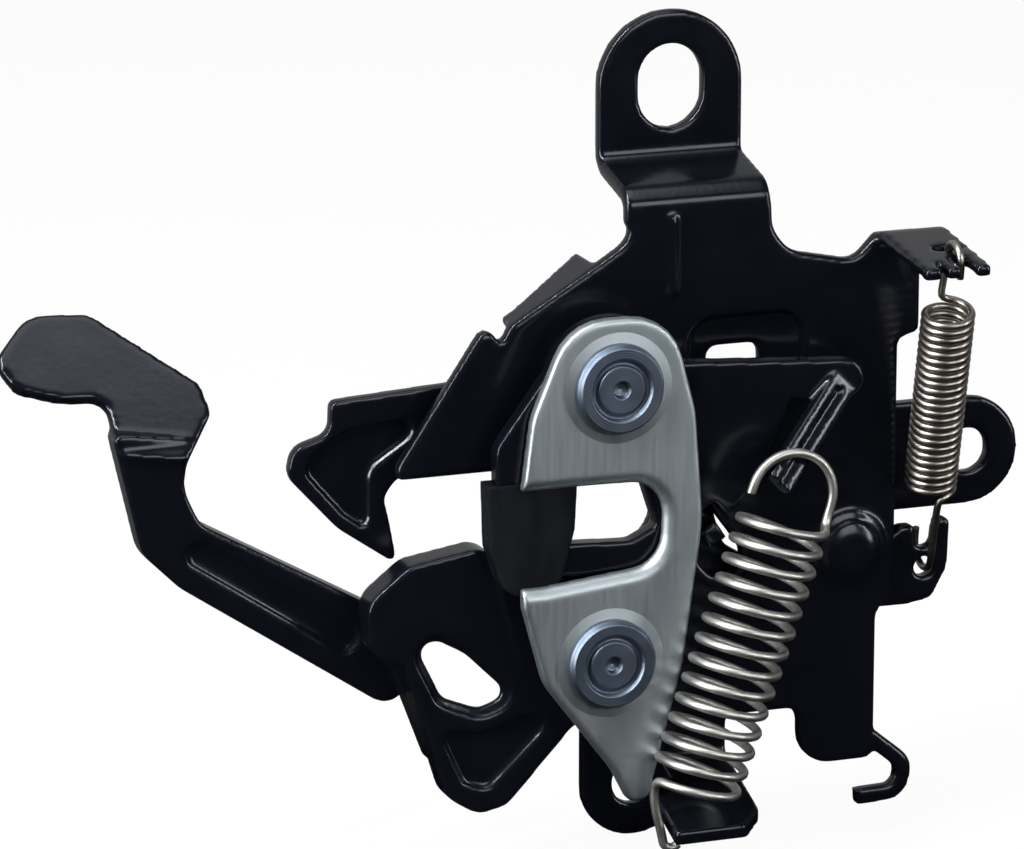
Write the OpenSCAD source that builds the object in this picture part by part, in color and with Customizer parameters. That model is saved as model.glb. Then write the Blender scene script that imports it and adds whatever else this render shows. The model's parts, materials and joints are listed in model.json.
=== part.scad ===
// Bonnet latch: a pressed base plate with three bolt ears carries a spring-opened
// latch hook, a release pawl, and a safety hook worked by a thumb lever.
// Drawn in the plate's own plane (right, up, towards the viewer), then stood up.

/* [Sheet and layers] */
// Thickness of the pressed base plate
base_t = 2.3; // [1.8:0.1:3]
// Height of the base plate's front face above the mounting plane
base_front = 13.3; // [12.5:0.1:15]
// Thickness of the safety lever's sheet
lever_t = 2.2; // [1.6:0.1:2.4]
// Thickness of the latch hook
latch_t = 3; // [2:0.1:3.2]
// Thickness of the zinc-plated front plate
front_t = 2; // [1.5:0.1:3]
// Thickness of the release pawl
pawl_t = 2.6; // [1.8:0.1:2.8]
// Thickness of the safety hook
hook_t = 2.3; // [1.6:0.1:2.4]
// Running gap between neighbouring layers
layer_gap = 0.5; // [0.3:0.05:0.6]

/* [Mounting ears] */
// Radius of the round bolt holes
bolt_r = 3.3; // [2.2:0.1:4.5]
// Radius of the two small ears
ear_r = 8; // [7:0.1:9]
// Width of the top ear
top_ear_w = 21.6; // [19:0.1:24]
// Width of the top ear's oblong hole
top_slot_w = 9.7; // [6:0.1:11]
// Height of the top ear's oblong hole
top_slot_h = 12; // [11.5:0.1:14]
// Side ear's hole, sideways from the drawing's centre
side_hole_x = 4.4; // [3:0.1:6]
// Side ear's hole, up from the drawing's centre
side_hole_y = -1.2; // [-2:0.1:0]
// Top ear's hole, sideways from the drawing's centre
top_hole_x = -42.2; // [-42.7:0.1:-41.7]
// Top ear's hole, up from the drawing's centre
top_hole_y = 56; // [55:0.1:57]
// Bottom ear's hole, sideways from the drawing's centre
low_hole_x = -47.2; // [-47.6:0.1:-46.8]
// Bottom ear's hole, up from the drawing's centre
low_hole_y = -46; // [-47:0.1:-45.5]

/* [Pivots] */
// Upper pivot, which carries latch hook and safety hook, sideways
upper_x = -57.5; // [-57.7:0.1:-57.3]
// Upper pivot, height
upper_y = 18.5; // [18.3:0.1:18.7]
// Lower pivot, which carries pawl and safety lever, sideways
lower_x = -58.5; // [-58.7:0.1:-58.3]
// Lower pivot, height
lower_y = -21; // [-21.2:0.1:-20.8]
// Radius of the rivet shanks
shank_r = 4; // [3:0.1:4.5]
// Radius of the rivet heads
head_r = 6.4; // [6:0.1:7]
// Height of the rivet heads
head_h = 1.7; // [1.2:0.1:2.2]
// Wall of the sleeves on the shanks
sleeve_wall = 1.5; // [1:0.1:2]
// Radial clearance of a running fit
run_fit = 0.05; // [0.02:0.01:0.08]
// Radial clearance of a fixed fit
fixed_fit = 0.02; // [0.01:0.01:0.04]

/* [Latch hook] */
// Radius of the shoulder that the pawl blocks
shoulder_r = 27; // [26:0.1:28]
// Radius of the fork's tail below the shoulder
tail_r = 24; // [22:0.1:25]
// How far the pawl's tooth reaches under the shoulder
engage = 0.45; // [0.2:0.05:0.5]
// Length of the spring arm from the pivot
arm_len = 38; // [34:0.5:40]
// Width of the spring arm
arm_w = 5.6; // [4.5:0.1:6]
// Thickness of the cover moulded round the jaw
cover_wall = 1.4; // [1:0.1:1.8]

/* [Springs] */
// Wire of the lift spring
lift_wire = 1.3; // [1:0.05:1.5]
// Outside diameter of the lift spring
lift_od = 13.8; // [12:0.1:14.5]
// Turns of the lift spring
lift_turns = 13; // [10:1:15]
// Wire of the pawl spring
pull_wire = 1.05; // [0.8:0.05:1.1]
// Outside diameter of the pawl spring
pull_od = 8; // [7:0.1:8.6]
// Turns of the pawl spring
pull_turns = 24; // [18:1:26]
// Pawl's reach from its pivot to the hole for its spring
pawl_reach = 52.8; // [47:0.1:58]
// Clearance between the base plate's edge and the pawl spring
edge_clear = 1.9; // [1.5:0.1:2.5]

/* [Hidden] */
$fn = 48;

black = [0.05, 0.05, 0.07];
zinc = [0.62, 0.65, 0.66];
steel = [0.72, 0.72, 0.70];

// Holes and pivots in the plate's plane
top_hole = [top_hole_x, top_hole_y];
low_hole = [low_hole_x, low_hole_y];
upper = [upper_x, upper_y];
lower = [lower_x, lower_y];

// Heights above the mounting plane, layer by layer
base_back = base_front - base_t;
lever_back = base_front + layer_gap;
lever_front = lever_back + lever_t;
latch_back = lever_front + layer_gap;
latch_front = latch_back + latch_t;
front_back = latch_front + layer_gap;
front_face = front_back + front_t;
pawl_front = base_back - layer_gap;
pawl_back = pawl_front - pawl_t;
coil_wire = 0.9;
coil_turns = 2.2;
coil_space = (coil_turns + 1) * coil_wire + 0.2;
hook_front = base_back - coil_space;
hook_back = hook_front - hook_t;
washer_t = 0.6;
washer_r = 6.2;
bend_r = 1.2;
ear_mid = base_t / 2;
base_mid = base_front - base_t / 2;

// Plan of the latch's catch, as angles about the upper pivot
shoulder_a = -50;
tail_a = -72;
arm_a = -4;
tooth_a = -56.7;
tooth = 3;
tooth_in = shoulder_r - engage;
tooth_at = upper + polar(tooth_in + tooth / 2, tooth_a);

// The pin that lets the thumb lever lift the safety hook
pin_r = 2;
pin_at = lower + [13, 29];
pin_travel = 9;
pawl_travel = 16;

// The striker's slot, which every layer keeps open
slot_end = [-54.8, -1.3];
slot_r = 5.9;
mouth = -72;
mouth_top = 5.6;
mouth_low = -10.4;

// Straight and rounded outlines
function unit(v) = v / norm(v);
function spin(v, a) = [v[0] * cos(a) - v[1] * sin(a), v[0] * sin(a) + v[1] * cos(a)];
function swung(at, a) = lower + spin(at - lower, a);
function polar(r, a) = r * [cos(a), sin(a)];
function arc(r, a0, a1, n = 10) = [for (i = [0:n]) polar(r, a0 + (a1 - a0) * i / n)];
function shifted(corners, by) = [for (c = corners) [c[0] + by[0], c[1] + by[1], c[2]]];
function corner(cs, i) = let (c = cs[(i + len(cs)) % len(cs)]) [c[0], c[1]];

// One corner of a counter-clockwise outline, moved inwards by h
function inset(cs, i, h) =
    let (u = unit(corner(cs, i) - corner(cs, i - 1)))
    let (w = unit(corner(cs, i + 1) - corner(cs, i)))
    let (nu = [-u[1], u[0]], nw = [-w[1], w[0]])
    let (at = corner(cs, i) + h * (nu + nw) / (1 + nu * nw))
    let (r = cross(u, w) > 0 ? cs[i][2] - h : cs[i][2] + h)
    [at[0], at[1], max(r, 0.3)];

// The arc that rounds corner b between its neighbours a and c
function fillet(a, b, c, r, n) =
    let (u = unit(a - b), w = unit(c - b), half = acos(u * w) / 2)
    let (mid = b + unit(u + w) * r / sin(half), reach = r / tan(half))
    let (s = b + u * reach - mid, e = b + w * reach - mid)
    let (a0 = atan2(s[1], s[0]), turn = atan2(e[1], e[0]) - a0)
    let (sweep = turn > 180 ? turn - 360 : turn < -180 ? turn + 360 : turn)
    [for (k = [0:n]) mid + polar(r, a0 + sweep * k / n)];

// A closed outline of [x, y, radius] corners, rounded, and inset by h
function rounded(cs, h = 0, n = 5) =
    let (k = len(cs), moved = [for (i = [0:k - 1]) inset(cs, i, h)])
    [for (i = [0:k - 1]) each fillet(corner(moved, i - 1), corner(moved, i),
        corner(moved, i + 1), moved[i][2], n)];

// One side of a sheet's edge-on profile: the middle line moved sideways by h
function side_point(path, i, h) =
    let (last = len(path) - 1)
    let (u = unit(path[max(i, 1)] - path[max(i, 1) - 1]))
    let (w = unit(path[min(i, last - 1) + 1] - path[min(i, last - 1)]))
    let (nu = [-u[1], u[0]], nw = [-w[1], w[0]])
    path[i] + h * (nu + nw) / (1 + nu * nw);
function bend_turn(path, i) = cross(path[i] - path[i - 1], path[i + 1] - path[i]);
function sheet_side(path, h, r) =
    let (last = len(path) - 1, moved = [for (i = [0:last]) side_point(path, i, h)])
    [moved[0],
        for (i = [1:last - 1])
            each fillet(moved[i - 1], moved[i], moved[i + 1],
                bend_turn(path, i) * h > 0 ? r : r + 2 * abs(h), 5),
        moved[last]];
function reversed(v) = [for (i = [len(v) - 1:-1:0]) v[i]];

// Edge-on profile of a bent sheet along a middle line
module sheet_profile(path, t, r = bend_r) {
    polygon(concat(sheet_side(path, -t / 2, r), reversed(sheet_side(path, t / 2, r))));
}

// Plan-view plate between two heights
module plate(low, high) {
    translate([0, 0, low])
        linear_extrude(high - low)
            children();
}

// Sheet profile in the up-and-forward plane, drawn out from left to right
module bent_across(left, right) {
    translate([left, 0, 0])
        rotate([90, 0, 90])
            linear_extrude(right - left)
                children();
}

// Sheet profile in the right-and-forward plane, drawn out from low to high
module bent_along(low, high) {
    translate([0, high, 0])
        rotate([90, 0, 0])
            linear_extrude(high - low)
                children();
}

// Solid with one rounded outline, inset as levels of [inset, height] say
module drawn(cs, levels, n = 5) {
    rings = [for (l = levels) rounded(cs, l[0], n)];
    count = len(rings[0]);
    top = len(levels) - 1;
    points = [for (j = [0:top]) for (q = rings[j]) [q[0], q[1], levels[j][1]]];
    sides = [for (j = [0:top - 1]) for (i = [0:count - 1])
        let (a = j * count + i, b = j * count + (i + 1) % count)
        each [[a, a + count, b + count], [a, b + count, b]]];
    caps = [[for (i = [0:count - 1]) i],
        [for (i = [count - 1:-1:0]) top * count + i]];
    polyhedron(points, concat(sides, caps));
}

// Points of a helix about the z axis, and of an arc in the plane of x and z
function helix(radius, turns, pitch, per_turn, from = 0) =
    [for (i = [0:round(turns * per_turn)]) let (a = from + 360 * i / per_turn)
        [radius * cos(a), radius * sin(a), pitch * i / per_turn]];
function loop(centre, radius, a0, a1, n) =
    [for (i = [0:n]) let (a = a0 + (a1 - a0) * i / n)
        centre + radius * [cos(a), 0, sin(a)]];
function lifted(path, z) = [for (p = path) p + [0, 0, z]];

// Round wire along a path; its cross-sections turn as little as they can
module wire(path, d, sides = 6) {
    last = len(path) - 1;
    along = [for (i = [0:last]) unit(path[min(i + 1, last)] - path[max(i - 1, 0)])];
    start = unit(cross(along[0], [0.3, 1, 0.2]));
    across = [for (i = 0, v = start; i <= last;
        i = i + 1, v = unit(v - (v * along[min(i, last)]) * along[min(i, last)])) v];
    points = [for (i = [0:last]) for (s = [0:sides - 1])
        path[i] + d / 2 * (cos(360 * s / sides) * across[i]
            + sin(360 * s / sides) * cross(along[i], across[i]))];
    skin = [for (i = [0:last - 1]) for (s = [0:sides - 1])
        let (a = i * sides + s, b = i * sides + (s + 1) % sides)
        each [[a, a + sides, b + sides], [a, b + sides, b]]];
    ends = [[for (s = [0:sides - 1]) s],
        [for (s = [sides - 1:-1:0]) last * sides + s]];
    polyhedron(points, concat(skin, ends));
}

// The side ear's hole becomes the part's origin
module stand_up() {
    translate([-side_hole_x, 0, -side_hole_y])
        rotate([90, 0, 0])
            children();
}

module ring(inner, outer, low, high, at) {
    translate([at[0], at[1], low])
        difference() {
            cylinder(h = high - low, r = outer);
            translate([0, 0, -1])
                cylinder(h = high - low + 2, r = inner);
        }
}

module drill(at, r) {
    translate([at[0], at[1], -60])
        cylinder(h = 120, r = r);
}

// Outline of a long hole between two centres
function long_hole(a, b, r) =
    let (turn = atan2(b[1] - a[1], b[0] - a[0]))
    concat([for (p = arc(r, turn + 90, turn + 270, 16)) a + p],
        [for (p = arc(r, turn - 90, turn + 90, 16)) b + p]);

// The striker's slot in plan
module slot_plan() {
    polygon(concat([for (p = arc(slot_r, -90, 90, 16)) slot_end + p],
        [[mouth, mouth_top], [mouth - 40, mouth_top], [mouth - 40, mouth_low], [mouth, mouth_low]]));
}

// Base plate
neck_left = top_hole[0] - top_ear_w / 2;
neck_right = top_hole[0] + top_ear_w / 2;
neck_top = 42.2;
pull_rise = 5.4;
pull_hole = lower + [pawl_reach, pull_rise];
side_edge = pull_hole[0] - pull_od / 2 - edge_clear;
tab_edge = -8.4;
tab_top = 35;
foot_edge = -33.8;
body_outline = [
    [neck_right, neck_top, 0.3], [neck_left, neck_top, 0.3], [neck_left + 0.8, 37, 3],
    [-57, 34, 3], [-70, 26.3, 0.8], [-71.4, 23.6, 0.5], [-73.6, 26.8, 1.4],
    [-87.2, 6.6, 2.2], [-84.8, 3.2, 1.6], [mouth, 3.4, 0.8], [mouth, -10.6, 2],
    [-70, -21, 8], [-63, -29.5, 6], [-57.5, foot_edge, 2], [-26.2, foot_edge, 1.8],
    [-26.2, -42.6, 5], [-14.4, -42.6, 1.5], [-14.4, -20.6, 2.5], [-12.2, -18.8, 1],
    [side_edge, -8.6, 1], [side_edge, 19.4, 1], [tab_edge, 20.4, 1], [tab_edge, tab_top, 0.3],
    [-15.2, tab_top, 0.3], [-18.5, 31.5, 3], [-28.6, 33.6, 5], [-31, 37, 4]];

// Recess round the window, and the dome, pressed into the base plate
recess = [[-43.6, 12.4, 4], [-25.9, 12.4, 4], [-25.9, 25, 4], [-43.6, 25, 4]];
recess_depth = 1.2;
window = [[-40.4, 16, 1.5], [-32.4, 16, 1.5], [-32.4, 20.5, 1.5], [-40.4, 20.5, 1.5]];
dome_at = [-18.9, -10.6];
dome_r = 4.4;
dome_rim = 5.8;

// Spring tab and bottom tongue, bent towards the viewer
tab_reach = 30;
tab_drop = 2.4;
tab_left = -15;
tab_right = -5.2;
tongue_reach = 29;
tongue_root = 6;
tongue_drop = 6;
tongue_left = -51.2;
tongue_right = -37.4;

// Width of the bottom ear's web
web_w = 6.6;

// Cable clip in the plane of the base plate
clip_w = 2.4;
clip_path = [[-17.3, -37.5], [-9.4, -44], [-10.2, -48.2], [-17, -48.4]];

module top_ear() {
    crown = top_hole[1] + top_ear_w / 2;
    round_off = top_ear_w / 2 - 0.1;
    half_slot = [0, (top_slot_h - top_slot_w) / 2];
    difference() {
        union() {
            plate(0, base_t)
                polygon(rounded([[neck_left, neck_top + 6, 0.3], [neck_right, neck_top + 6, 0.3],
                    [neck_right, crown, round_off], [neck_left, crown, round_off]], n = 12));
            bent_across(neck_left, neck_right)
                sheet_profile([[top_hole[1] - 6, ear_mid], [neck_top + 3.2, ear_mid],
                    [neck_top + 0.6, base_mid], [neck_top - 3, base_mid]], base_t);
        }
        plate(-1, base_t + 1)
            polygon(long_hole(top_hole - half_slot, top_hole + half_slot, top_slot_w / 2));
    }
}

module side_ear() {
    low = side_hole_y - ear_r;
    high = side_hole_y + ear_r;
    end = side_hole_x + ear_r;
    difference() {
        union() {
            plate(0, base_t)
                polygon(rounded([[side_edge + 2, low, 0.3], [end, low, ear_r - 0.1],
                    [end, high, ear_r - 0.1], [side_edge + 2, high, 0.3]], n = 10));
            bent_along(low, high)
                sheet_profile([[side_edge - 6, base_mid], [side_edge - ear_mid, base_mid],
                    [side_edge - ear_mid, ear_mid], [side_edge + 4, ear_mid]], base_t);
        }
        drill([side_hole_x, side_hole_y], bolt_r);
    }
}

module low_ear() {
    left = low_hole[0] - ear_r;
    right = low_hole[0] + ear_r;
    top = foot_edge - 3;
    bottom = low_hole[1] - ear_r;
    difference() {
        union() {
            plate(0, base_t)
                polygon(rounded([[left, bottom, ear_r - 0.1], [right, bottom, ear_r - 0.1],
                    [right, low_hole[1] + 4, 3], [left + web_w, low_hole[1] + 5, 1],
                    [left + web_w, top, 0.3], [left, top, 0.3]], n = 8));
            bent_across(left, left + web_w)
                sheet_profile([[foot_edge + 5, base_mid], [foot_edge - 0.6, base_mid],
                    [foot_edge - 2, ear_mid], [foot_edge - 5, ear_mid]], base_t);
        }
        drill(low_hole, bolt_r);
    }
}

module spring_tab() {
    difference() {
        bent_across(tab_left, tab_right)
            sheet_profile([[tab_top - 5, base_mid], [tab_top, base_mid],
                [tab_top - tab_drop, tab_reach]], base_t - 0.6);
        // Slit and open notch for the spring's upper hook
        translate([-10.4, 20, 21])
            cube([4, 20, 1.8]);
        translate([-9.5, 20, 25.6])
            cube([2.2, 20, 10]);
        translate([-12.6, 20, 27])
            cube([1, 20, 10]);
    }
}

module spring_tongue() {
    root = foot_edge - tongue_root;
    difference() {
        bent_across(tongue_left, tongue_right)
            sheet_profile([[foot_edge + 6, base_mid], [root, base_mid],
                [root - tongue_drop, tongue_reach]], base_t);
        // Narrow root beside the bottom ear
        translate([tongue_left - 1, -60, 0])
            cube([low_hole[0] - ear_r + web_w + 1.2 - tongue_left + 1, 60, base_front + 4]);
        // Rounded free end
        translate([tongue_right, -60, tongue_reach + 1])
            rotate([0, 45, 0])
                cube([6, 60, 6], center = true);
    }
}

// Stiffening flange along the sloping upper edge, bent back
brow_from = [-57.2, 33.9];
brow_to = [-70, 26.3];
brow_depth = 9;
brow_end = 5;
module brow_flange() {
    run = brow_to - brow_from;
    translate([brow_from[0], brow_from[1], base_front - 0.1])
        rotate(atan2(run[1], run[0]))
            rotate([90, 0, 0])
                mirror([0, 0, 1])
                    linear_extrude(base_t - 0.4)
                        polygon([[0, 0], [0, -brow_depth], [norm(run) * 0.85, -brow_end],
                            [norm(run), -brow_end], [norm(run), 0]]);
}

module base_plate() {
    color(black)
        stand_up()
            difference() {
                union() {
                    plate(base_back, base_front)
                        polygon(rounded(body_outline));
                    plate(base_back - recess_depth, base_back + 0.1)
                        polygon(rounded(recess, -0.8));
                    top_ear();
                    side_ear();
                    low_ear();
                    spring_tab();
                    spring_tongue();
                    plate(base_back, base_front)
                        sheet_profile(clip_path, clip_w);
                    brow_flange();
                    // Bead down the neck
                    translate([-46.3, 29, base_front - 0.3])
                        rotate([-90, 0, 0])
                            cylinder(h = 11, r = 0.9);
                    // Pressed dome with its double rim
                    translate([dome_at[0], dome_at[1], base_front - 0.2])
                        rotate_extrude()
                            polygon([[0, 0], [dome_rim, 0], [dome_rim - 0.5, 0.8],
                                [dome_r, 0.8], [dome_r - 0.4, 1.6], [2.4, 2.1], [0, 2.1]]);
                }
                plate(base_back - 5, base_front + 5)
                    slot_plan();
                plate(base_front - recess_depth, base_front + 0.5)
                    polygon(rounded(recess));
                plate(base_back - 5, base_front + 5)
                    polygon(rounded(window));
                // Hollow behind the dome
                translate([dome_at[0], dome_at[1], base_back - 1])
                    cylinder(h = 2.3, r = dome_r - 0.8);
                drill(upper, shank_r + fixed_fit);
                drill(lower, shank_r + fixed_fit);
                // Openings for the drive pin and for the pawl's tooth
                plate(base_back - 3, base_front + 3)
                    polygon(long_hole(pin_at, swung(pin_at, pin_travel), pin_r + 0.7));
                plate(base_back - 3, base_front + 3)
                    polygon(long_hole(tooth_at, swung(tooth_at, -pawl_travel), tooth));
            }
}

// Zinc-plated front plate
front_outline = [
    [-71.3, -12, 3], [-68.2, -23.4, 8], [-58, -37, 6], [-55.5, -42, 1.8], [-52.6, -42, 1.6],
    [-47.4, -22, 12], [-44.6, -2, 30], [-45.8, 14, 12], [-49.5, 28.2, 8], [-64.5, 28.2, 8],
    [-70, 15, 10], [-71.3, 5, 2]];
front_slot = [[-110, 4.6, 0.2], [-110, -9.4, 0.2], [-68, -9.4, 3], [-50.6, -7.6, 4.8],
    [-50.2, 4.4, 4.8], [-64, 4.6, 3]];

module front_plate() {
    edge = 0.5;
    color(zinc)
        stand_up()
            difference() {
                drawn(front_outline, [[0, front_back], [0, front_face - edge],
                    [0.15, front_face - edge * 0.4], [edge, front_face]]);
                drawn(front_slot, [[0, front_back - 1], [0, front_face - 1.2],
                    [-0.5, front_face - 0.5], [-1.4, front_face], [-1.5, front_face + 1]]);
                drill(upper, shank_r + fixed_fit);
                drill(lower, shank_r + fixed_fit);
            }
}

// Rivets, sleeves, spacers and washers on the two pivots
module rivet(at, tail_top) {
    groove_r = 3.7;
    color([0.45, 0.49, 0.55])
        stand_up()
            translate([at[0], at[1], 0])
                rotate_extrude()
                    polygon([
                        [0, tail_top - head_h], [washer_r - 0.8, tail_top - head_h],
                        [washer_r - 0.4, tail_top - head_h + 0.4], [washer_r - 0.4, tail_top],
                        [shank_r, tail_top], [shank_r, front_face], [head_r, front_face],
                        [head_r, front_face + head_h * 0.5], [head_r - 0.5, front_face + head_h],
                        [groove_r + 0.8, front_face + head_h],
                        [groove_r + 0.4, front_face + head_h * 0.6],
                        [groove_r, front_face + head_h * 0.6],
                        [groove_r - 0.4, front_face + head_h * 0.85],
                        [1.3, front_face + head_h * 0.85], [0.9, front_face + head_h * 0.4],
                        [0, front_face + head_h * 0.3]]);
}

module upper_rivet() {
    rivet(upper, hook_back - layer_gap / 2 - washer_t);
}

module lower_rivet() {
    rivet(lower, pawl_back - layer_gap / 2 - washer_t);
}

module sleeve(at) {
    color(steel)
        stand_up()
            ring(shank_r + fixed_fit, shank_r + sleeve_wall, base_front, front_back, at);
}

module upper_sleeve() {
    sleeve(upper);
}

module lower_sleeve() {
    sleeve(lower);
}

sleeve_r = shank_r + sleeve_wall;
module latch_spacer() {
    color(steel)
        stand_up()
            ring(sleeve_r + fixed_fit, sleeve_r + 1.2, base_front, latch_back - layer_gap / 2, upper);
}

module lever_spacer() {
    color(steel)
        stand_up()
            ring(sleeve_r + fixed_fit, sleeve_r + 0.9, lever_front + layer_gap / 2, front_back, lower);
}

module hook_washer() {
    color(steel)
        stand_up()
            ring(shank_r + fixed_fit, washer_r, hook_back - layer_gap / 2 - washer_t,
                hook_back - layer_gap / 2, upper);
}

module pawl_washer() {
    color(steel)
        stand_up()
            ring(shank_r + fixed_fit, washer_r, pawl_back - layer_gap / 2 - washer_t,
                pawl_back - layer_gap / 2, lower);
}

// Latch hook: jaw, fork tail with the pawl's shoulder, and spring arm
jaw = [[-8, 4, 3], [-17, -8, 4], [-16.6, -22, 3], [-14.6, -28, 2.4], [-9, -28, 2.4],
    [-6.9, -20, 1], [-6.5, -12, 2], [4, -5, 1]];
finger = [[-10, -27, 1.5], [4, -27.6, 1.5], [10, -23, 1], [8, -20.6, 1], [3, -23, 2], [-8, -22.4, 1]];
cover_top = -13;
hub_r = 9.5;
tongue_tip = [-13.2, -12.4, 7.6];

module latch_plan() {
    circle(hub_r);
    polygon(rounded(jaw));
    polygon(rounded(finger));
    polygon(concat([[0, 0]], arc(shoulder_r, arm_a, shoulder_a), arc(tail_r, shoulder_a, tail_a)));
    rotate(arm_a)
        translate([0, -arm_w / 2]) {
            square([arm_len - arm_w / 2, arm_w]);
            translate([arm_len - arm_w / 2, arm_w / 2])
                circle(arm_w / 2);
        }
}

module arm_tongue() {
    root = polar(arm_len - 2.6, arm_a);
    translate([root[0], root[1], latch_front - 1.1])
        rotate([0, -asin(tongue_tip[2] / norm(tongue_tip)), atan2(tongue_tip[1], tongue_tip[0])])
            difference() {
                translate([-1.5, -2.2, -1])
                    cube([norm(tongue_tip) + 1.5, 4.4, 2]);
                // Pressed groove along the tongue and notch for the spring's loop
                translate([2, -0.6, 0.5])
                    cube([norm(tongue_tip), 1.2, 1]);
                translate([norm(tongue_tip) - 4.4, -3, -1.4])
                    cube([1.9, 1.8, 3]);
            }
}

module latch_hook() {
    color(black)
        stand_up()
            translate([upper[0], upper[1], 0])
                difference() {
                    union() {
                        plate(latch_back, latch_front)
                            latch_plan();
                        arm_tongue();
                    }
                    drill([0, 0], sleeve_r + run_fit);
                }
}

module jaw_cover() {
    skin = 0.3;
    color([0.09, 0.09, 0.1])
        stand_up()
            translate([upper[0], upper[1], 0])
                difference() {
                    plate(latch_back - skin, latch_front + skin)
                        intersection() {
                            polygon(rounded(jaw, -cover_wall));
                            translate([-30, -40])
                                square([60, 40 + cover_top]);
                        }
                    plate(latch_back - fixed_fit, latch_front + fixed_fit) {
                        polygon(rounded(jaw, -fixed_fit));
                        polygon(rounded(finger, -fixed_fit));
                    }
                }
}

// Release pawl behind the base plate, with its tooth turned forward
pawl_outline = shifted([
    [-4, -7.6, 4], [8, -7, 4], [20, -2.5, 8], [38, 0.2, 6], [pawl_reach - 2.6, 0, 1.5],
    [pawl_reach + 1.2, 0.6, 2], [pawl_reach + 3.6, 5, 1.5], [pawl_reach + 4, 12.4, 0.8],
    [pawl_reach + 1.8, 12.4, 0.6], [pawl_reach + 1.2, 8.4, 0.9], [pawl_reach - 1.2, 8.2, 0.9],
    [pawl_reach - 1.6, 11.8, 0.7], [pawl_reach - 3.8, 11.8, 1], [pawl_reach - 8.4, 8.4, 3],
    [28, 8, 5], [21.5, 12, 3], [19.6, 18.4, 1.4],
    [15, 18.8, 1.4], [12.8, 13, 3], [4, 7.4, 5], [-7, 7.4, 4.5], [-7.4, -4, 4]], lower);

module release_pawl() {
    color(black)
        stand_up()
            difference() {
                union() {
                    plate(pawl_back, pawl_front)
                        polygon(rounded(pawl_outline));
                    translate([upper[0], upper[1], 0])
                        rotate(tooth_a)
                            translate([tooth_in, -tooth / 2, pawl_front - 1])
                                cube([tooth, tooth, latch_front - pawl_front + 0.8]);
                }
                drill(lower, shank_r + run_fit);
                drill(pull_hole, pull_wire / 2 + 1);
            }
}

// Safety lever: claw and vee in front of the base plate, thumb arm set back
claw_outline = shifted([
    [-32.6, 2, 2.2], [-28.4, 1, 1.6], [-26, -6, 6], [-22, -19.4, 4], [-17.4, -22.4, 3.8],
    [-13, -21.4, 3.6], [-3, -10.6, 5], [8.6, -7, 6], [9, 7.6, 5], [0, 9.4, 6], [-12.6, 10.6, 2.4],
    [-15.8, 16.8, 3.4], [-27.4, 15, 4], [-33.8, 10, 4]], lower);
lens_outline = shifted([[-26.2, 3, 1.6], [-22.4, -4.8, 2.4], [-17, -7, 3], [-12.4, -5.4, 1.4],
    [-19, 1.2, 6], [-23.2, 3.6, 2.4]], lower);
trough_outline = shifted([[-23.4, -9, 1.4], [-19.6, -17.6, 1.8], [-16, -18.8, 1.6], [-5.6, -9, 1.6],
    [-10, -8.4, 3], [-17, -10.4, 4]], lower);
finger_outline = shifted([[4, 2, 1], [10.4, 6, 2], [13.6, 14, 3], [16.2, 29, 3.1], [13, 32.3, 2.6],
    [10, 29, 3], [9.9, 16, 3], [2, 8, 2]], lower);
arm_outline = shifted([[-63.4, 18, 5], [-58, 12.6, 8], [-22.6, -11.4, 3], [-28.4, 6.4, 3],
    [-55, 21.6, 4], [-57.4, 27, 6], [-56, 34, 1], [-67.4, 35.6, 1]], lower);
rib_outline = shifted([[-58, 17, 1.8], [-33.6, 0.4, 1.8], [-31.4, 3.6, 1.8],
    [-55.4, 19.6, 1.8]], lower);
thumb_outline = shifted([[-66.2, 32, 1], [-57.2, 30.6, 1], [-52.4, 37.6, 1.6], [-53.2, 42, 1.8],
    [-67, 54, 4], [-75.6, 54.4, 5], [-81.4, 48, 2.6], [-79, 43.4, 2.2], [-73, 41.4, 4],
    [-67, 41, 2.4]], lower);
arm_hollow = shifted([[-59.4, 17.6, 1.2], [-29.4, -3.4, 1.2], [-31, 4.2, 1.2],
    [-56.8, 19.2, 1.2]], lower);
arm_front = 8;
arm_edge = 4.4;
thumb_tilt = 38;
lens_rim = 1.2;
press_depth = 0.8;

// Pressed tray: a face of the sheet's thickness with its border turned back
module tray(cs, face, depth, t) {
    difference() {
        plate(face - depth, face)
            polygon(rounded(cs));
        plate(face - depth - 1, face - t)
            polygon(rounded(cs, t));
    }
}

module thumb_arm() {
    difference() {
        plate(arm_front - arm_edge, arm_front)
            polygon(rounded(arm_outline));
        plate(arm_front - arm_edge - 1, arm_front - lever_t)
            polygon(rounded(arm_hollow));
        plate(arm_front - press_depth, arm_front + 1)
            polygon(rounded(rib_outline));
    }
    // Thumb tab, bent back at the neck
    translate([0, lower[1] + 34, arm_front - 0.5])
        rotate([-thumb_tilt, 0, 0])
            translate([0, -lower[1] - 34, 0])
                plate(-lever_t, 0)
                    polygon(rounded(thumb_outline));
}

// Step wall between the front vee and the set-back thumb arm
module step_wall() {
    from = lower + [-28.4, 1.4];
    to = lower + [-21.6, -16.8];
    run = to - from;
    translate([from[0], from[1], arm_front - arm_edge])
        rotate(atan2(run[1], run[0]))
            cube([norm(run), lever_t, lever_front - lever_t / 2 - arm_front + arm_edge]);
}

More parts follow.
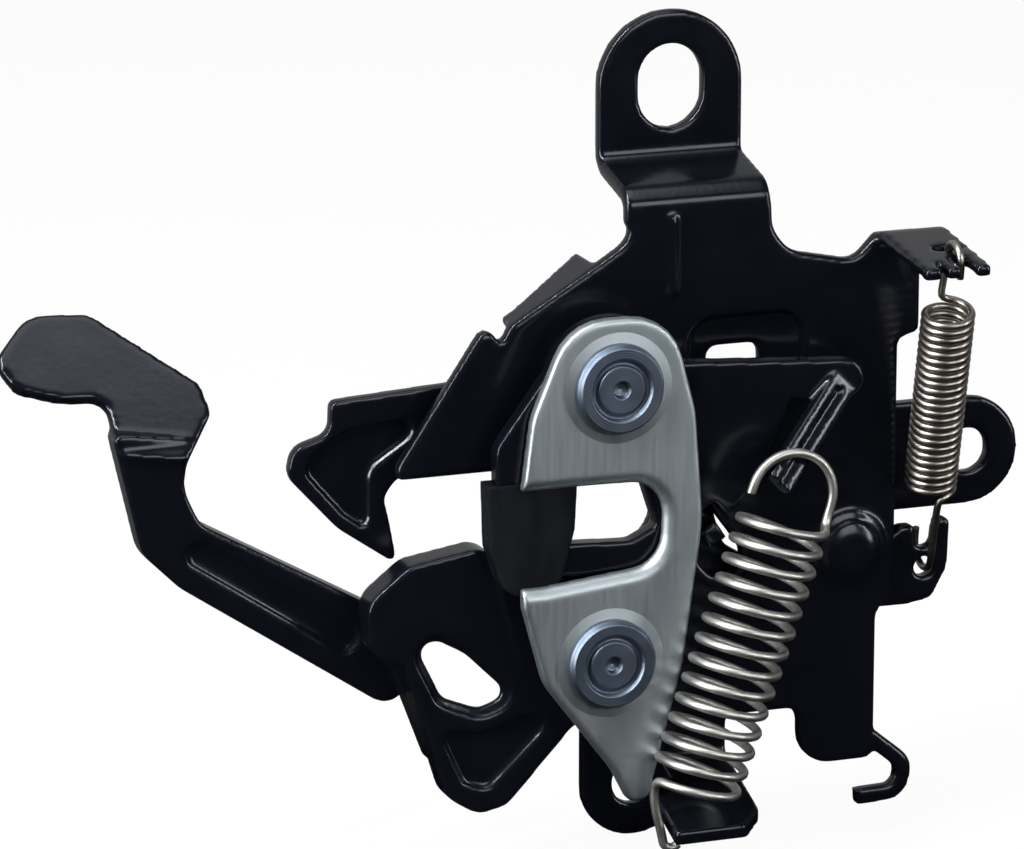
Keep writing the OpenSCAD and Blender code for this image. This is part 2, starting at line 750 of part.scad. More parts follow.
module safety_lever() {
    claw_depth = 5.2;
    color(black)
        stand_up()
            difference() {
                union() {
                    tray(claw_outline, lever_front, claw_depth, lever_t);
                    plate(lever_back, lever_front)
                        polygon(rounded(finger_outline));
                    translate([lower[0], lower[1], lever_back])
                        cylinder(h = lever_t, r = sleeve_r + 3);
                    thumb_arm();
                    step_wall();
                }
                // Clear of the base plate behind it
                translate([mouth - 1.2, -60, -1])
                    cube([60, 100, lever_back + 1]);
                plate(lever_front - press_depth, lever_front + 1)
                    polygon(rounded(trough_outline));
                plate(lever_front - press_depth, lever_front + 1)
                    polygon(rounded(lens_outline, -lens_rim));
                plate(0, lever_front + 1)
                    polygon(rounded(lens_outline));
                drill(lower, sleeve_r + run_fit);
                drill(pin_at, pin_r + fixed_fit);
            }
}

module drive_pin() {
    color(steel)
        stand_up()
            translate([pin_at[0], pin_at[1], hook_back + 0.2])
                cylinder(h = lever_front - hook_back - 0.2, r = pin_r);
}

// Safety hook behind the base plate
hook_outline = shifted([
    [8.2, -3.4, 1.5], [5, 4.8, 3.5], [-4, 5.8, 4], [-12, 0.8, 6], [-19.4, -1.2, 5],
    [-37, -2.2, 1], [-37.2, -6.8, 2], [-42.6, -8.4, 3], [-43.4, -12.4, 3], [-36, -20.6, 8],
    [-27.4, -26.6, 0.7], [-28.6, -20, 6], [-29.4, -16.6, 2], [-27.6, -14.2, 2], [-8, -9.2, 6],
    [2.4, -9.6, 2.5], [4, -13, 1.2], [9.4, -13, 1.2]], upper);

hook_face = shifted([[-41, -12, 2], [-35.4, -18.6, 5], [-31.6, -21.4, 1], [-31.6, -12.4, 3],
    [-25, -8.2, 2], [-25, -5.4, 1.5], [-35, -6.4, 3], [-40, -9.6, 2]], upper);

module safety_hook() {
    color(black)
        stand_up()
            difference() {
                plate(hook_back, hook_front)
                    polygon(rounded(hook_outline));
                // Face pressed in, so that a border stands round the hook's end
                plate(hook_front - press_depth, hook_front + 1)
                    polygon(rounded(hook_face));
                drill(upper, shank_r + run_fit);
            }
}

// Lift spring: open coil from the tongue to the latch arm
lift_low = [-45.9, -39.3];
lift_top = [-34.2, -1.4];
lift_depth = 26;

module lift_spring() {
    run = lift_top - lift_low;
    tall = norm(run);
    radius = (lift_od - lift_wire) / 2;
    bend = 2.6;
    drop = 8.4;
    low_hook = loop([bend - radius, 0, -drop], bend, -10, -180, 8);
    coils = helix(radius, lift_turns + 0.5, tall / (lift_turns + 0.5), 14, 180);
    top_loop = loop([0, 0, tall + 3.4], radius, 0, 190, 14);
    color(steel)
        stand_up()
            translate([lift_low[0], lift_low[1], lift_depth])
                rotate(atan2(run[1], run[0]) - 90)
                    rotate([-90, 0, 0])
                        wire(concat(low_hook, [[-radius, 0, -2]], coils, top_loop), lift_wire);
}

// Pawl spring: close coil hooked through the pawl's end and over the spring tab
pull_from = [pull_hole[0], pull_hole[1], pawl_front - pawl_t / 2];
pull_to = [-8.4, 35.4, 24.9];
low_bend = 2.9;
top_bend = 2.4;
pull_lead = 13.4;
pull_head = 10.6;

module pawl_spring() {
    run = pull_to - pull_from;
    tall = norm(run);
    radius = (pull_od - pull_wire) / 2;
    low_hook = loop([0, 0, low_bend], low_bend, 0, -180, 8);
    coil_len = tall - pull_lead - pull_head;
    coils = lifted(helix(radius, pull_turns + 0.5, coil_len / (pull_turns + 0.5), 10, 180), pull_lead);
    top_hook = loop([0, 0, tall - top_bend], top_bend, 0, 180, 8);
    color(steel)
        stand_up()
            translate(pull_from)
                rotate([0, acos(run[2] / tall), atan2(run[1], run[0])])
                    wire(concat([[low_bend, 0, 4.6]], low_hook, [[-low_bend, 0, pull_lead - 2]], coils,
                        [[top_bend, 0, tall - 7]], top_hook, [[-top_bend, 0, tall - 4]]), pull_wire, 5);
}

// Torsion springs that return the safety hook and the thumb lever
module torsion_coil(at, radius, base, turns) {
    color(steel)
        stand_up()
            translate([at[0], at[1], base + coil_wire / 2])
                wire(helix(radius, turns, coil_wire * 1.04, 16), coil_wire);
}

module hook_spring() {
    torsion_coil(upper, shank_r + 0.9, hook_front + 0.1, coil_turns);
}

module lever_spring() {
    room = front_back - lever_front - layer_gap;
    torsion_coil(lower, sleeve_r + 0.9 + 0.3 + coil_wire / 2, lever_front + layer_gap / 2,
        floor(room / coil_wire) - 1.2);
}

base_plate();
front_plate();
upper_rivet();
lower_rivet();
upper_sleeve();
lower_sleeve();
latch_spacer();
lever_spacer();
latch_hook();
jaw_cover();
safety_lever();
drive_pin();
safety_hook();
hook_washer();
release_pawl();
pawl_washer();
lift_spring();
pawl_spring();
hook_spring();
lever_spring();
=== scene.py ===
import json
import math

import bmesh
import bpy
from mathutils import Matrix, Vector

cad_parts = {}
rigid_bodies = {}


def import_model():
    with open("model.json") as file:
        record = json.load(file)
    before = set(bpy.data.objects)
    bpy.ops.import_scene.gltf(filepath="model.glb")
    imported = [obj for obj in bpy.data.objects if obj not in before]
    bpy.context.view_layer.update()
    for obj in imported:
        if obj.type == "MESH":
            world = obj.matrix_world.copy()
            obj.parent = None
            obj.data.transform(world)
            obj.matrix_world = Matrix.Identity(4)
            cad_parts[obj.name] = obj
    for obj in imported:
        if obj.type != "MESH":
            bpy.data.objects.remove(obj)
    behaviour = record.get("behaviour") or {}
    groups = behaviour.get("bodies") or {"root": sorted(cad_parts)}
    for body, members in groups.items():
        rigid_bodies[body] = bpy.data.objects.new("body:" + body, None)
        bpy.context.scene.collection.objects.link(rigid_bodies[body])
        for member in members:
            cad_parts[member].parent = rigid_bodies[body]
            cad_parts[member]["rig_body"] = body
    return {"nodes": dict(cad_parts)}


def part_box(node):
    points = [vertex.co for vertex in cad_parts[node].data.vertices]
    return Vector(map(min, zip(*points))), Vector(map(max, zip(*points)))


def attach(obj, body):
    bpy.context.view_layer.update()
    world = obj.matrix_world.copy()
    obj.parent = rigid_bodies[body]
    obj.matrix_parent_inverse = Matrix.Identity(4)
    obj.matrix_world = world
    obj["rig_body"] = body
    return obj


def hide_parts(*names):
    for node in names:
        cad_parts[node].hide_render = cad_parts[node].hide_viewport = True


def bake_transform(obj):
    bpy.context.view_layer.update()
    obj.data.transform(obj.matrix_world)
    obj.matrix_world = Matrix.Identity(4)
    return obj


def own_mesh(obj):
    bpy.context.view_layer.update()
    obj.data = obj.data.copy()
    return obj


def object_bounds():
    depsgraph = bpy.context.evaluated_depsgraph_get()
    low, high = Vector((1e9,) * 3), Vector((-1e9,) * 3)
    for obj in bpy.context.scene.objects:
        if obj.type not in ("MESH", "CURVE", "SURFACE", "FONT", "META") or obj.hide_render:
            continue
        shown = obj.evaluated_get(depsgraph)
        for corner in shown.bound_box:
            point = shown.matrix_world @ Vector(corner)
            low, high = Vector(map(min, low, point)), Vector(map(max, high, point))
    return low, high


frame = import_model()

bl_info = {
    "name": "Bonnet latch dresser",
    "version": (1, 0, 0),
    "blender": (4, 5, 0),
    "location": "View3D > Sidebar > Latch",
    "description": "Paints the pressings, winds the springs and sets the stage",
    "category": "Object",
}

MM = 0.001
MERGE = 1e-6
MOST_FACES = 95000
CAD_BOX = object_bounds()

# Sockets of a colour mix node
MIX_FACTOR, MIX_FIRST, MIX_SECOND, MIX_COLOUR = 0, 6, 7, 2

# Zinc collars round the rivets: flat within the first radius, gone beyond the second
COLLAR_FLAT = 6.2 * MM
COLLAR_EDGE = 7.9 * MM

# Pressed pieces: node, voxel in millimetres, smoothing passes
PRESSINGS = (("base_plate", 0.42, 6), ("safety_lever", 0.34, 15), ("safety_hook", 0.28, 14),
             ("release_pawl", 0.34, 7), ("latch_hook", 0.34, 7))
FRONT_VOXEL, FRONT_PASSES = 0.3 * MM, 5
COVER_VOXEL, COVER_PASSES = 0.14 * MM, 4
FLOW_FACTOR = 0.5

# Roughness of bare metals
RIVET_ROUGHNESS = 0.42
STEEL_ROUGHNESS = 0.35
LIFT_ROUGHNESS = 0.42
PULL_ROUGHNESS = 0.34

# Lift spring: ends of the coil, the tongue that it hooks, and the leg between, in millimetres
LIFT_FOOT = (-51.9, -26, -38.2)
LIFT_HEAD = (-38.6, -26, -0.2)
LIFT_TONGUE = (-55.2, -26, -45.3)
LIFT_LEG = ((-57, -26, -43), (-57.9, -26, -39.8))
LIFT_HOOK_RADIUS = 1.3 * MM
LIFT_EYE_RISE = 3.4 * MM

# Pawl spring: its two ends in millimetres, the hooks' radii and the straight wire at either end
PULL_FOOT = (-10.1, -9.2, -14.4)
PULL_HEAD = (-12.8, -24.9, 36.6)
PULL_LOW_RADIUS = 2.9 * MM
PULL_TOP_RADIUS = 2.4 * MM
PULL_LEAD = 13.4 * MM
PULL_TOP_LEAD = 10.6 * MM
PULL_LOW_END = 4.6 * MM
PULL_LEAD_BEND = 2 * MM
PULL_TOP_BEND = 7 * MM
PULL_TOP_END = 4 * MM

# Lamps: name, place from the aim, width, height, power
LAMPS = (("top_box", (0, -0.12, 0.6), 0.5, 0.4, 1.8),
         ("left_box", (-0.62, -0.12, 0.12), 0.16, 0.5, 6),
         ("high_strip", (-0.42, -0.22, 0.55), 0.05, 0.4, 7),
         ("right_strip", (0.55, -0.4, 0.1), 0.06, 0.5, 2),
         ("front_fill", (0.25, -0.85, 0.35), 0.5, 0.4, 3.4))

# Floor and backdrop: half width, gap under the part, and how white they look to camera and mirror
FLOOR_HALF = 4
FLOOR_GAP = 0.5 * MM
FLOOR_ROUGHNESS = 0.9
CAMERA_GLOW = 0.94
MIRROR_GLOW = 0.45
FLOOR_FADE = (0.03, 0.35)
SKY_FADE = (0.1, 0.6)


def middle_of(node):
    """The middle of a node's box, in metres."""
    low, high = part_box(node)
    return (Vector(low) + Vector(high)) / 2


class LatchFinishes(bpy.types.PropertyGroup):
    """Colours and textures of the latch's finishes"""

    paint: bpy.props.FloatVectorProperty(
        name="Paint", description="Gloss dip paint on the pressings",
        default=(0.0018, 0.0022, 0.004), size=3, subtype="COLOR", min=0, max=1)
    paint_roughness: bpy.props.FloatProperty(
        name="Paint roughness", description="Mean roughness of the dip paint",
        default=0.19, min=0.05, max=1, subtype="FACTOR")
    # Lighter colour on rounded edges: partly paint drawn thin, partly a painted highlight where
    # edges catch the light.
    thin_paint_and_edge_highlight: bpy.props.FloatVectorProperty(
        name="Thin paint", description="Paint drawn thin over a cut edge",
        default=(0.016, 0.017, 0.02), size=3, subtype="COLOR", min=0, max=1)
    plating: bpy.props.FloatVectorProperty(
        name="Plating", description="Zinc plating of the front plate",
        default=(0.36, 0.405, 0.43), size=3, subtype="COLOR", min=0, max=1)
    rivet: bpy.props.FloatVectorProperty(
        name="Rivet", description="Blued steel of the rivets",
        default=(0.15, 0.185, 0.24), size=3, subtype="COLOR", min=0, max=1)
    lift_wire: bpy.props.FloatVectorProperty(
        name="Lift spring", description="Plated wire of the lift spring",
        default=(0.5, 0.5, 0.475), size=3, subtype="COLOR", min=0, max=1)
    pull_wire: bpy.props.FloatVectorProperty(
        name="Pawl spring", description="Oiled wire of the pawl and return springs",
        default=(0.38, 0.355, 0.32), size=3, subtype="COLOR", min=0, max=1)
    cover: bpy.props.FloatVectorProperty(
        name="Jaw cover", description="Greased moulding round the jaw",
        default=(0.003, 0.0033, 0.0042), size=3, subtype="COLOR", min=0, max=1)
    edge_radius: bpy.props.FloatProperty(
        name="Edge radius", description="Rounding that paint and plating leave on an edge",
        default=0.35 * MM, min=0, max=0.001, unit="LENGTH", precision=5)


class LatchSprings(bpy.types.PropertyGroup):
    """Sizes of the two coil springs"""

    lift_wire: bpy.props.FloatProperty(
        name="Lift wire", description="Diameter of the lift spring's wire",
        default=1.3 * MM, unit="LENGTH", precision=5)
    lift_outside: bpy.props.FloatProperty(
        name="Lift outside", description="Outside diameter of the lift spring",
        default=13.8 * MM, unit="LENGTH", precision=5)
    lift_turns: bpy.props.FloatProperty(
        name="Lift turns", description="Turns of the lift spring",
        default=13.5, min=4, max=30)
    pull_wire: bpy.props.FloatProperty(
        name="Pawl wire", description="Diameter of the pawl spring's wire",
        default=1.05 * MM, unit="LENGTH", precision=5)
    pull_outside: bpy.props.FloatProperty(
        name="Pawl outside", description="Outside diameter of the pawl spring",
        default=8 * MM, unit="LENGTH", precision=5)
    pull_turns: bpy.props.FloatProperty(
        name="Pawl turns", description="Turns of the pawl spring",
        default=24.5, min=8, max=40)


class LatchStage(bpy.types.PropertyGroup):
    """Camera, floor and lamps"""

    azimuth: bpy.props.FloatProperty(
        name="Azimuth", description="Camera's turn to the left of the front",
        default=math.radians(20), subtype="ANGLE", unit="ROTATION")
    elevation: bpy.props.FloatProperty(
        name="Elevation", description="Camera's height as an angle",
        default=math.radians(15), subtype="ANGLE", unit="ROTATION")
    distance: bpy.props.FloatProperty(
        name="Distance", description="Camera's distance from the aim",
        default=0.8, unit="LENGTH")
    aim: bpy.props.FloatVectorProperty(
        name="Aim", description="Point in the middle of the picture",
        default=(-73.9 * MM, -12 * MM, 13.1 * MM), size=3, subtype="XYZ", unit="LENGTH")
    lens: bpy.props.FloatProperty(
        name="Lens", description="Focal length in millimetres on a 36 mm sensor",
        default=202.5, min=20, max=400)
    floor: bpy.props.FloatVectorProperty(
        name="Floor", description="Colour of the floor",
        default=(0.9, 0.9, 0.9), size=3, subtype="COLOR", min=0, max=1)
    ambient: bpy.props.FloatProperty(
        name="Ambient", description="Even light from all round",
        default=0.06, min=0, max=1)


# Materials

class Shader:
    """A material's node tree with short calls for adding and joining nodes."""

    def __init__(self, name):
        self.material = bpy.data.materials.new(name)
        self.material.use_nodes = True
        self.nodes = self.material.node_tree.nodes
        self.links = self.material.node_tree.links
        self.surface = self.nodes["Principled BSDF"]
        self.place = self.nodes.new("ShaderNodeTexCoord").outputs["Object"]

    def add(self, kind, **settings):
        node = self.nodes.new("ShaderNode" + kind)
        for key, value in settings.items():
            setattr(node, key, value)
        return node

    def join(self, out, into):
        self.links.new(out, into)

    def noise(self, scale, detail=3.0, stretch=(1, 1, 1)):
        """Noise at scale per metre, stretched along the axes."""
        mapping = self.add("Mapping")
        mapping.inputs["Scale"].default_value = stretch
        self.join(self.place, mapping.inputs["Vector"])
        noise = self.add("TexNoise")
        noise.inputs["Scale"].default_value = scale
        noise.inputs["Detail"].default_value = detail
        self.join(mapping.outputs["Vector"], noise.inputs["Vector"])
        return noise.outputs["Fac"]

    def spread(self, fac, low, high, start=0.0, end=1.0):
        """fac from start to end turned into low to high."""
        ramp = self.add("MapRange")
        ramp.inputs["From Min"].default_value = start
        ramp.inputs["From Max"].default_value = end
        ramp.inputs["To Min"].default_value = low
        ramp.inputs["To Max"].default_value = high
        self.join(fac, ramp.inputs["Value"])
        return ramp.outputs["Result"]

    def tint(self, fac, first, second):
        """A colour between first and second."""
        mix = self.add("Mix", data_type="RGBA")
        mix.inputs[MIX_FIRST].default_value = (*first, 1)
        mix.inputs[MIX_SECOND].default_value = (*second, 1)
        self.join(fac, mix.inputs[MIX_FACTOR])
        return mix.outputs[MIX_COLOUR]

    def soft_edges(self, radius):
        """The surface normal with its edges rounded."""
        bevel = self.add("Bevel", samples=8)
        bevel.inputs["Radius"].default_value = radius
        return bevel.outputs["Normal"]

    def edge_mask(self, rounded):
        """1 on a rounded edge and 0 on the flat."""
        plain = self.add("NewGeometry").outputs["Normal"]
        dot = self.add("VectorMath", operation="DOT_PRODUCT")
        self.join(plain, dot.inputs[0])
        self.join(rounded, dot.inputs[1])
        return self.spread(dot.outputs["Value"], 1, 0, 0.8, 0.98)

    def bump(self, height, depth, strength, normal=None):
        """Bumps of height times depth, over a rounded normal where there is one."""
        bump = self.add("Bump")
        bump.inputs["Strength"].default_value = strength
        bump.inputs["Distance"].default_value = depth
        self.join(height, bump.inputs["Height"])
        if normal is not None:
            self.join(normal, bump.inputs["Normal"])
        self.join(bump.outputs["Normal"], self.surface.inputs["Normal"])
        return bump.outputs["Normal"]

    def round_mask(self, centre, inner, outer):
        """1 within inner of an axis along y through centre and 0 beyond outer."""
        mapping = self.add("Mapping")
        mapping.inputs["Location"].default_value = (-centre[0], 0, -centre[2])
        mapping.inputs["Scale"].default_value = (1, 0, 1)
        self.join(self.place, mapping.inputs["Vector"])
        reach = self.add("VectorMath", operation="LENGTH")
        self.join(mapping.outputs["Vector"], reach.inputs[0])
        return self.spread(reach.outputs["Value"], 1, 0, inner, outer)


def dip_paint(look):
    """Black gloss dip paint with orange peel, dust, and rounded edges lightened in patches: partly
    thin paint, partly painted highlight.
    """
    shader = Shader("black_dip_paint")
    rounded = shader.soft_edges(look.edge_radius)
    edge = shader.edge_mask(rounded)
    patches = shader.noise(160, 4)
    # Rounded edges lightened in patches: thin paint and painted edge highlight.
    thin_and_highlit = shader.add("Math", operation="MULTIPLY")
    shader.join(edge, thin_and_highlit.inputs[0])
    shader.join(shader.spread(patches, 0, 0.8, 0.45, 0.7), thin_and_highlit.inputs[1])
    colour = shader.tint(thin_and_highlit.outputs["Value"], look.paint, look.thin_paint_and_edge_highlight)
    shader.join(colour, shader.surface.inputs["Base Color"])
    mean = look.paint_roughness
    rough = shader.spread(shader.noise(240, 3), mean - 0.08, mean + 0.1)
    shader.join(rough, shader.surface.inputs["Roughness"])
    shader.surface.inputs["Specular IOR Level"].default_value = 0.34
    shader.surface.inputs["Specular Tint"].default_value = (0.84, 0.9, 1, 1)
    shader.bump(shader.noise(900, 2), 0.05 * MM, 0.25, rounded)
    return shader.material


def zinc_plating(look):
    """Satin zinc with a faint rolling grain and cloudy plating."""
    shader = Shader("zinc_plating")
    rounded = shader.soft_edges(look.edge_radius)
    clouds = shader.noise(90, 4)
    darker = [c * 0.82 for c in look.plating]
    lighter = [min(c * 1.12, 1) for c in look.plating]
    shader.join(shader.tint(clouds, darker, lighter), shader.surface.inputs["Base Color"])
    shader.surface.inputs["Metallic"].default_value = 1
    grain = shader.noise(1400, 2, (1, 1, 0.08))
    shader.join(shader.spread(grain, 0.4, 0.54), shader.surface.inputs["Roughness"])
    collars = shader.add("Math", operation="MAXIMUM")
    for socket, rivet in zip(collars.inputs, ("upper_rivet", "lower_rivet")):
        shader.join(shader.round_mask(middle_of(rivet), COLLAR_FLAT, COLLAR_EDGE), socket)
    coined = shader.bump(collars.outputs["Value"], 0.6 * MM, 0.5, rounded)
    shader.bump(grain, 0.02 * MM, 0.3, coined)
    return shader.material


def turned_steel(name, colour, centre, roughness):
    """Steel with fine turning rings about an axis through centre."""
    shader = Shader(name)
    rounded = shader.soft_edges(0.2 * MM)
    mapping = shader.add("Mapping")
    mapping.inputs["Location"].default_value = -Vector((centre[0], 0, centre[2]))
    shader.join(shader.place, mapping.inputs["Vector"])
    rings = shader.add("TexWave", wave_type="RINGS", rings_direction="Y")
    rings.inputs["Scale"].default_value = 900
    rings.inputs["Distortion"].default_value = 0.6
    shader.join(mapping.outputs["Vector"], rings.inputs["Vector"])
    stains = shader.noise(260, 4)
    stained = shader.tint(stains, [c * 0.75 for c in colour], colour)
    shader.join(stained, shader.surface.inputs["Base Color"])
    shader.surface.inputs["Metallic"].default_value = 1
    rough = shader.spread(stains, roughness - 0.06, roughness + 0.08)
    shader.join(rough, shader.surface.inputs["Roughness"])
    shader.bump(rings.outputs["Fac"], 0.03 * MM, 0.3, rounded)
    return shader.material


def spring_wire(name, colour, roughness):
    """Drawn wire with a film of oil that gathers in places."""
    shader = Shader(name)
    film = shader.noise(420, 3)
    oiled = shader.tint(film, [c * 0.6 for c in colour], colour)
    shader.join(oiled, shader.surface.inputs["Base Color"])
    shader.surface.inputs["Metallic"].default_value = 1
    rough = shader.spread(film, roughness - 0.08, roughness + 0.1)
    shader.join(rough, shader.surface.inputs["Roughness"])
    shader.bump(shader.noise(2600, 2), 0.015 * MM, 0.3)
    return shader.material


def greased_moulding(look):
    """Black moulding with smears of grease."""
    shader = Shader("greased_moulding")
    rounded = shader.soft_edges(2 * look.edge_radius)
    smears = shader.noise(320, 5, (1, 1, 0.5))
    shader.join(shader.tint(smears, look.cover, [c * 1.6 for c in look.cover]),
                shader.surface.inputs["Base Color"])
    shader.join(shader.spread(smears, 0.32, 0.8, 0.35, 0.65), shader.surface.inputs["Roughness"])
    shader.surface.inputs["Specular IOR Level"].default_value = 0.05
    shader.bump(smears, 0.3 * MM, 0.5, rounded)
    return shader.material


def finish(node, material):
    """Gives a node of the frame one material."""
    mesh = frame["nodes"][node].data
    mesh.materials.clear()
    mesh.materials.append(material)


# Pressings

def pressed_copy(node, material, grain, passes):
    """A copy of a node whose edges and steps flow like pressed and dipped sheet."""
    shape = bmesh.new()
    shape.from_mesh(frame["nodes"][node].data)
    bmesh.ops.remove_doubles(shape, verts=shape.verts, dist=MERGE)
    sharp = bpy.data.meshes.new(node + "_sharp")
    shape.to_mesh(sharp)
    shape.free()
    piece = bpy.data.objects.new(node + "_pressed", sharp)
    bpy.context.scene.collection.objects.link(piece)
    skin = piece.modifiers.new("skin", "REMESH")
    skin.mode = "VOXEL"
    skin.voxel_size = grain
    skin.use_smooth_shade = True
    flow = piece.modifiers.new("flow", "SMOOTH")
    flow.factor = FLOW_FACTOR
    flow.iterations = passes
    ready = piece.evaluated_get(bpy.context.evaluated_depsgraph_get())
    piece.data = bpy.data.meshes.new_from_object(ready)
    piece.modifiers.clear()
    bpy.data.meshes.remove(sharp)
    piece.data.materials.clear()
    piece.data.materials.append(material)
    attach(piece, frame["nodes"][node]["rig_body"])
    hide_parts(node)
    if len(piece.data.polygons) > MOST_FACES:
        raise RuntimeError(f"{piece.name} has {len(piece.data.polygons)} faces")


# Springs

def wound_wire(name, points, diameter, sides=3):
    """A round wire along points, made a mesh in the part's frame."""
    curve = bpy.data.curves.new(name + "_route", "CURVE")
    curve.dimensions = "3D"
    curve.bevel_depth = diameter / 2
    curve.bevel_resolution = sides
    curve.use_fill_caps = True
    curve.resolution_u = 3
    spline = curve.splines.new("NURBS")
    spline.points.add(len(points) - 1)
    for spot, point in zip(spline.points, points):
        spot.co = (*point, 1)
    spline.order_u = 4
    spline.use_endpoint_u = True
    route = bpy.data.objects.new(name + "_route", curve)
    bpy.context.scene.collection.objects.link(route)
    ready = route.evaluated_get(bpy.context.evaluated_depsgraph_get())
    mesh = bpy.data.meshes.new_from_object(ready)
    mesh.name = name
    bpy.data.objects.remove(route)
    piece = bpy.data.objects.new(name, mesh)
    bpy.context.scene.collection.objects.link(piece)
    mesh.polygons.foreach_set("use_smooth", [True] * len(mesh.polygons))
    return piece


def coil_points(radius, turns, height, start, per_turn=14):
    """Points of a helix about z that begins at the angle start."""
    count = round(turns * per_turn)
    return [Vector((radius * math.cos(start + math.tau * i / per_turn),
                    radius * math.sin(start + math.tau * i / per_turn),
                    height * i / count)) for i in range(count + 1)]


def arc_points(centre, radius, first, last, count):
    """Points of an arc in the plane of x and z, with angles in degrees."""
    angles = [math.radians(first + (last - first) * i / count) for i in range(count + 1)]
    return [centre + radius * Vector((math.cos(a), 0, math.sin(a))) for a in angles]


def place_between(points, foot, head, side):
    """Sets points drawn along z from foot to head, with x turned towards side."""
    up = (head - foot).normalized()
    across = (side - side.dot(up) * up).normalized()
    turn = Matrix((across, up.cross(across), up)).transposed()
    return [foot + turn @ p for p in points]


class LATCH_OT_paint_pressings(bpy.types.Operator):
    """Paints the base plate, the levers and the hooks black"""

    bl_idname = "latch.paint_pressings"
    bl_label = "Paint pressings"

    def execute(self, context):
        paint = dip_paint(context.scene.latch_finishes)
        for node, grain, passes in PRESSINGS:
            finish(node, paint)
            pressed_copy(node, paint, grain * MM, passes)
        return {"FINISHED"}


class LATCH_OT_plate_front(bpy.types.Operator):
    """Plates the front plate with zinc"""

    bl_idname = "latch.plate_front"
    bl_label = "Plate front"

    def execute(self, context):
        zinc = zinc_plating(context.scene.latch_finishes)
        finish("front_plate", zinc)
        pressed_copy("front_plate", zinc, FRONT_VOXEL, FRONT_PASSES)
        return {"FINISHED"}


class LATCH_OT_turn_steel(bpy.types.Operator):
    """Finishes rivets, sleeves, spacers, washers and the drive pin"""

    bl_idname = "latch.turn_steel"
    bl_label = "Turn steel"

    def execute(self, context):
        look = context.scene.latch_finishes
        for side in ("upper", "lower"):
            rivet = side + "_rivet"
            finish(rivet, turned_steel(side + "_blued_rivet", look.rivet, middle_of(rivet),
                                       RIVET_ROUGHNESS))
        for node in ("upper_sleeve", "lower_sleeve", "latch_spacer", "lever_spacer",
                     "hook_washer", "pawl_washer", "drive_pin"):
            finish(node, turned_steel(node + "_steel", look.plating, middle_of(node),
                                      STEEL_ROUGHNESS))
        return {"FINISHED"}


class LATCH_OT_grease_jaw(bpy.types.Operator):
    """Gives the jaw its greased moulding"""

    bl_idname = "latch.grease_jaw"
    bl_label = "Grease jaw"

    def execute(self, context):
        moulding = greased_moulding(context.scene.latch_finishes)
        finish("jaw_cover", moulding)
        pressed_copy("jaw_cover", moulding, COVER_VOXEL, COVER_PASSES)
        return {"FINISHED"}


class LATCH_OT_wind_lift_spring(bpy.types.Operator):
    """Winds the lift spring from the tongue to the latch's arm"""

    bl_idname = "latch.wind_lift_spring"
    bl_label = "Wind lift spring"

    def execute(self, context):
        size = context.scene.latch_springs
        foot = Vector(LIFT_FOOT) * MM
        head = Vector(LIFT_HEAD) * MM
        tall = (head - foot).length
        radius = (size.lift_outside - size.lift_wire) / 2
        tongue = Vector(LIFT_TONGUE) * MM
        hook = arc_points(tongue, LIFT_HOOK_RADIUS, -40, -180, 8)
        leg = [Vector(point) * MM for point in LIFT_LEG]
        coil = coil_points(radius, size.lift_turns, tall, math.pi)
        eye = arc_points(Vector((0, 0, tall + LIFT_EYE_RISE)), radius, 0, 190, 14)
        route = hook + leg + place_between(coil + eye, foot, head, Vector((1, 0, 0)))
        piece = wound_wire("lift_spring_wire", route, size.lift_wire)
        piece.data.materials.append(
            spring_wire("plated_wire", context.scene.latch_finishes.lift_wire, LIFT_ROUGHNESS))
        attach(piece, "frame")
        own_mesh(piece)
        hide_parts("lift_spring")
        return {"FINISHED"}


class LATCH_OT_wind_pawl_spring(bpy.types.Operator):
    """Winds the pawl spring from the pawl's end to the spring tab"""

    bl_idname = "latch.wind_pawl_spring"
    bl_label = "Wind pawl spring"

    def execute(self, context):
        size = context.scene.latch_springs
        foot = Vector(PULL_FOOT) * MM
        head = Vector(PULL_HEAD) * MM
        tall = (head - foot).length
        radius = (size.pull_outside - size.pull_wire) / 2
        low, top, lead = PULL_LOW_RADIUS, PULL_TOP_RADIUS, PULL_LEAD
        hook = arc_points(Vector((0, 0, low)), low, 0, -180, 8)
        coil = coil_points(radius, size.pull_turns, tall - lead - PULL_TOP_LEAD, math.pi, 12)
        coil = [p + Vector((0, 0, lead)) for p in coil]
        eye = arc_points(Vector((0, 0, tall - top)), top, 0, 180, 8)
        points = [Vector((low, 0, PULL_LOW_END)), *hook, Vector((-low, 0, lead - PULL_LEAD_BEND)),
                  *coil, Vector((top, 0, tall - PULL_TOP_BEND)), *eye,
                  Vector((-top, 0, tall - PULL_TOP_END))]
        route = place_between(points, foot, head, Vector((0, 1, 0)))
        piece = wound_wire("pawl_spring_wire", route, size.pull_wire)
        piece.data.materials.append(
            spring_wire("oiled_wire", context.scene.latch_finishes.pull_wire, PULL_ROUGHNESS))
        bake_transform(piece)
        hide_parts("pawl_spring")
        return {"FINISHED"}


class LATCH_OT_finish_return_springs(bpy.types.Operator):
    """Finishes the two torsion springs on the pivots"""

    bl_idname = "latch.finish_return_springs"
    bl_label = "Finish return springs"

    def execute(self, context):
        wire = spring_wire("return_wire", context.scene.latch_finishes.pull_wire, PULL_ROUGHNESS)
        for node in ("hook_spring", "lever_spring"):
            finish(node, wire)
        return {"FINISHED"}


# Stage

def softbox(name, at, towards, width, height, power):
    """An area lamp that looks from one point towards another."""
    lamp = bpy.data.lights.new(name, "AREA")
    lamp.shape = "RECTANGLE"
    lamp.size = width
    lamp.size_y = height
    lamp.energy = power
    stand = bpy.data.objects.new(name, lamp)
    stand.location = at
    stand.rotation_euler = (towards - at).to_track_quat("-Z", "Y").to_euler()
    bpy.context.scene.collection.objects.link(stand)


